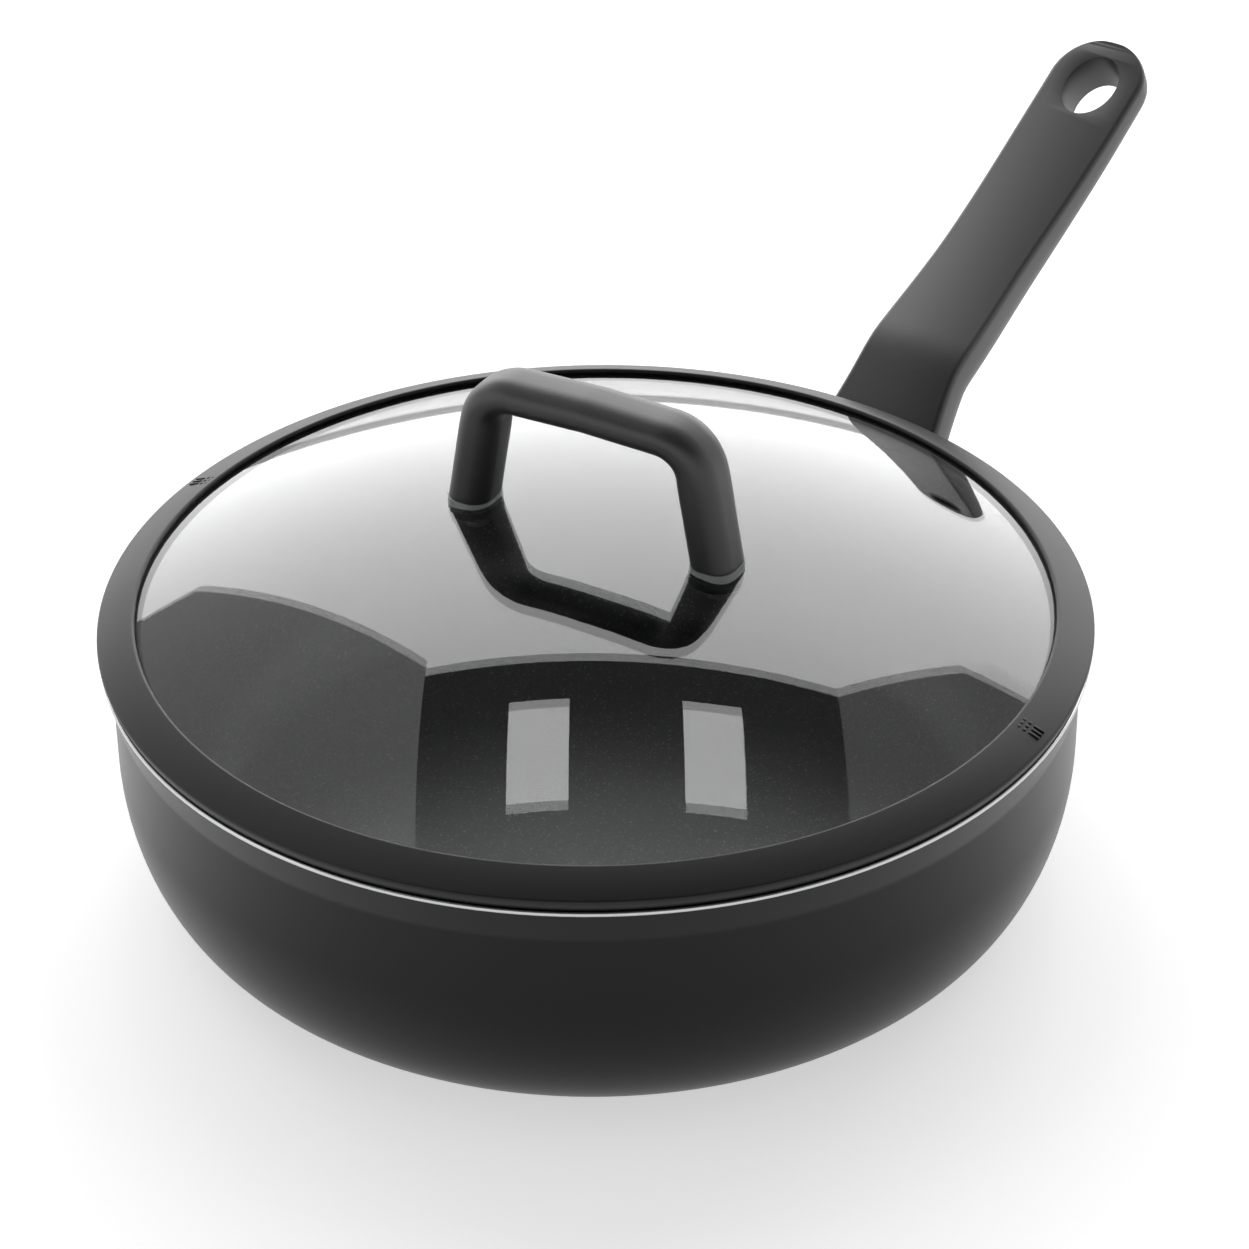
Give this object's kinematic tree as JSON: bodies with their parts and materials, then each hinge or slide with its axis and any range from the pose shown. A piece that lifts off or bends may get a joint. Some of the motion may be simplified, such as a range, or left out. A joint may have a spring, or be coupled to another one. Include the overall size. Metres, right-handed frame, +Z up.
{
  "type": "saute pan with lid",
  "caption": "Deep round saute pan with a long moulded handle and a lift-off domed glass lid with a silicone rim and an arch handle.",
  "frame": {"origin": "centre of the pan's flat base, on the surface it stands on", "axes": "+Z up, +X along the long handle"},
  "size_m": [0.4514, 0.2878, 0.1564],
  "materials": {
    "coated_aluminium": "satin black coating, bare turned rim edge",
    "base_steel": "spun",
    "bare_aluminium": "as cast",
    "handle_moulding": "fine soft-touch texture",
    "screw_steel": "plain",
    "tempered_glass": "polished",
    "rim_silicone": "satin",
    "clear_silicone": "translucent",
    "insert_brass": "turned",
    "seal_rubber": "matt"
  },
  "bodies": {
    "pan": {"pan_body": "coated_aluminium", "base_disc": "base_steel", "handle_bracket": "bare_aluminium", "handle": "handle_moulding", "handle_screw": "screw_steel", "handle_washer": "screw_steel"},
    "lid": {"lid_glass": "tempered_glass", "lid_ring": "rim_silicone", "lid_handle": "handle_moulding", "leg_gasket_left": "clear_silicone", "leg_gasket_right": "clear_silicone", "thread_insert_left": "insert_brass", "thread_insert_right": "insert_brass", "lid_screws": "screw_steel", "steel_washers": "screw_steel", "seal_washers": "seal_rubber"}
  },
  "joints": [
    {"name": "lid_lift", "type": "slide", "parent": "pan", "child": "lid", "axis": [0, 0, 1], "range_m": [0, 0.12]}
  ]
}
